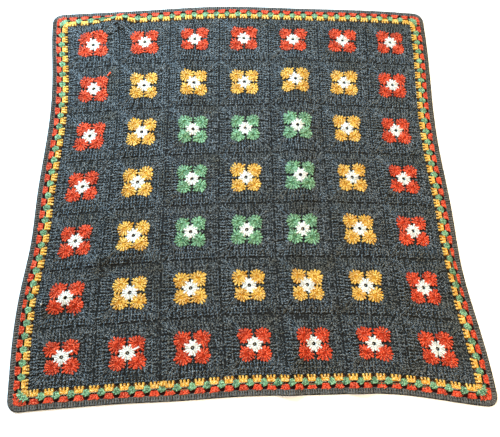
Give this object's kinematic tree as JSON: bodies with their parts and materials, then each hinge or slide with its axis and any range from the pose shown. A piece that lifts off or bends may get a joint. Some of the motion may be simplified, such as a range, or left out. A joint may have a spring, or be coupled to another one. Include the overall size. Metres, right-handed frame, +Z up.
{
  "type": "granny square blanket",
  "caption": "Square crocheted blanket of joined flower squares with a layered striped border, laid out flat with soft folds.",
  "frame": {"origin": "middle of the blanket's outline, on the surface that it lies on", "axes": "+Z up out of the surface, +Y from the near edge to the far edge, +X to the right as seen from the near edge"},
  "size_m": [0.9734, 0.9856, 0.016],
  "materials": {
    "grey_yarn": "matt crocheted worsted yarn, heathered blue-grey",
    "yellow_yarn": "matt crocheted worsted yarn, golden yellow",
    "green_yarn": "matt crocheted worsted yarn, soft green",
    "red_yarn": "matt crocheted worsted yarn, bright red",
    "edging_yarn": "matt ribbed crochet, warm grey"
  },
  "bodies": {
    "root": {"square_r1_c1": "grey_yarn", "square_r1_c2": "grey_yarn", "square_r1_c3": "grey_yarn", "square_r1_c4": "grey_yarn", "square_r1_c5": "grey_yarn", "square_r1_c6": "grey_yarn", "square_r1_c7": "grey_yarn", "square_r2_c1": "grey_yarn", "square_r2_c2": "grey_yarn", "square_r2_c3": "grey_yarn", "square_r2_c4": "grey_yarn", "square_r2_c5": "grey_yarn", "square_r2_c6": "grey_yarn", "square_r2_c7": "grey_yarn", "square_r3_c1": "grey_yarn", "square_r3_c2": "grey_yarn", "square_r3_c3": "grey_yarn", "square_r3_c4": "grey_yarn", "square_r3_c5": "grey_yarn", "square_r3_c6": "grey_yarn", "square_r3_c7": "grey_yarn", "square_r4_c1": "grey_yarn", "square_r4_c2": "grey_yarn", "square_r4_c3": "grey_yarn", "square_r4_c4": "grey_yarn", "square_r4_c5": "grey_yarn", "square_r4_c6": "grey_yarn", "square_r4_c7": "grey_yarn", "square_r5_c1": "grey_yarn", "square_r5_c2": "grey_yarn", "square_r5_c3": "grey_yarn", "square_r5_c4": "grey_yarn", "square_r5_c5": "grey_yarn", "square_r5_c6": "grey_yarn", "square_r5_c7": "grey_yarn", "square_r6_c1": "grey_yarn", "square_r6_c2": "grey_yarn", "square_r6_c3": "grey_yarn", "square_r6_c4": "grey_yarn", "square_r6_c5": "grey_yarn", "square_r6_c6": "grey_yarn", "square_r6_c7": "grey_yarn", "square_r7_c1": "grey_yarn", "square_r7_c2": "grey_yarn", "square_r7_c3": "grey_yarn", "square_r7_c4": "grey_yarn", "square_r7_c5": "grey_yarn", "square_r7_c6": "grey_yarn", "square_r7_c7": "grey_yarn", "border_yellow": "yellow_yarn", "border_green": "green_yarn", "border_red": "red_yarn", "border_edging": "edging_yarn"}
  },
  "joints": []
}
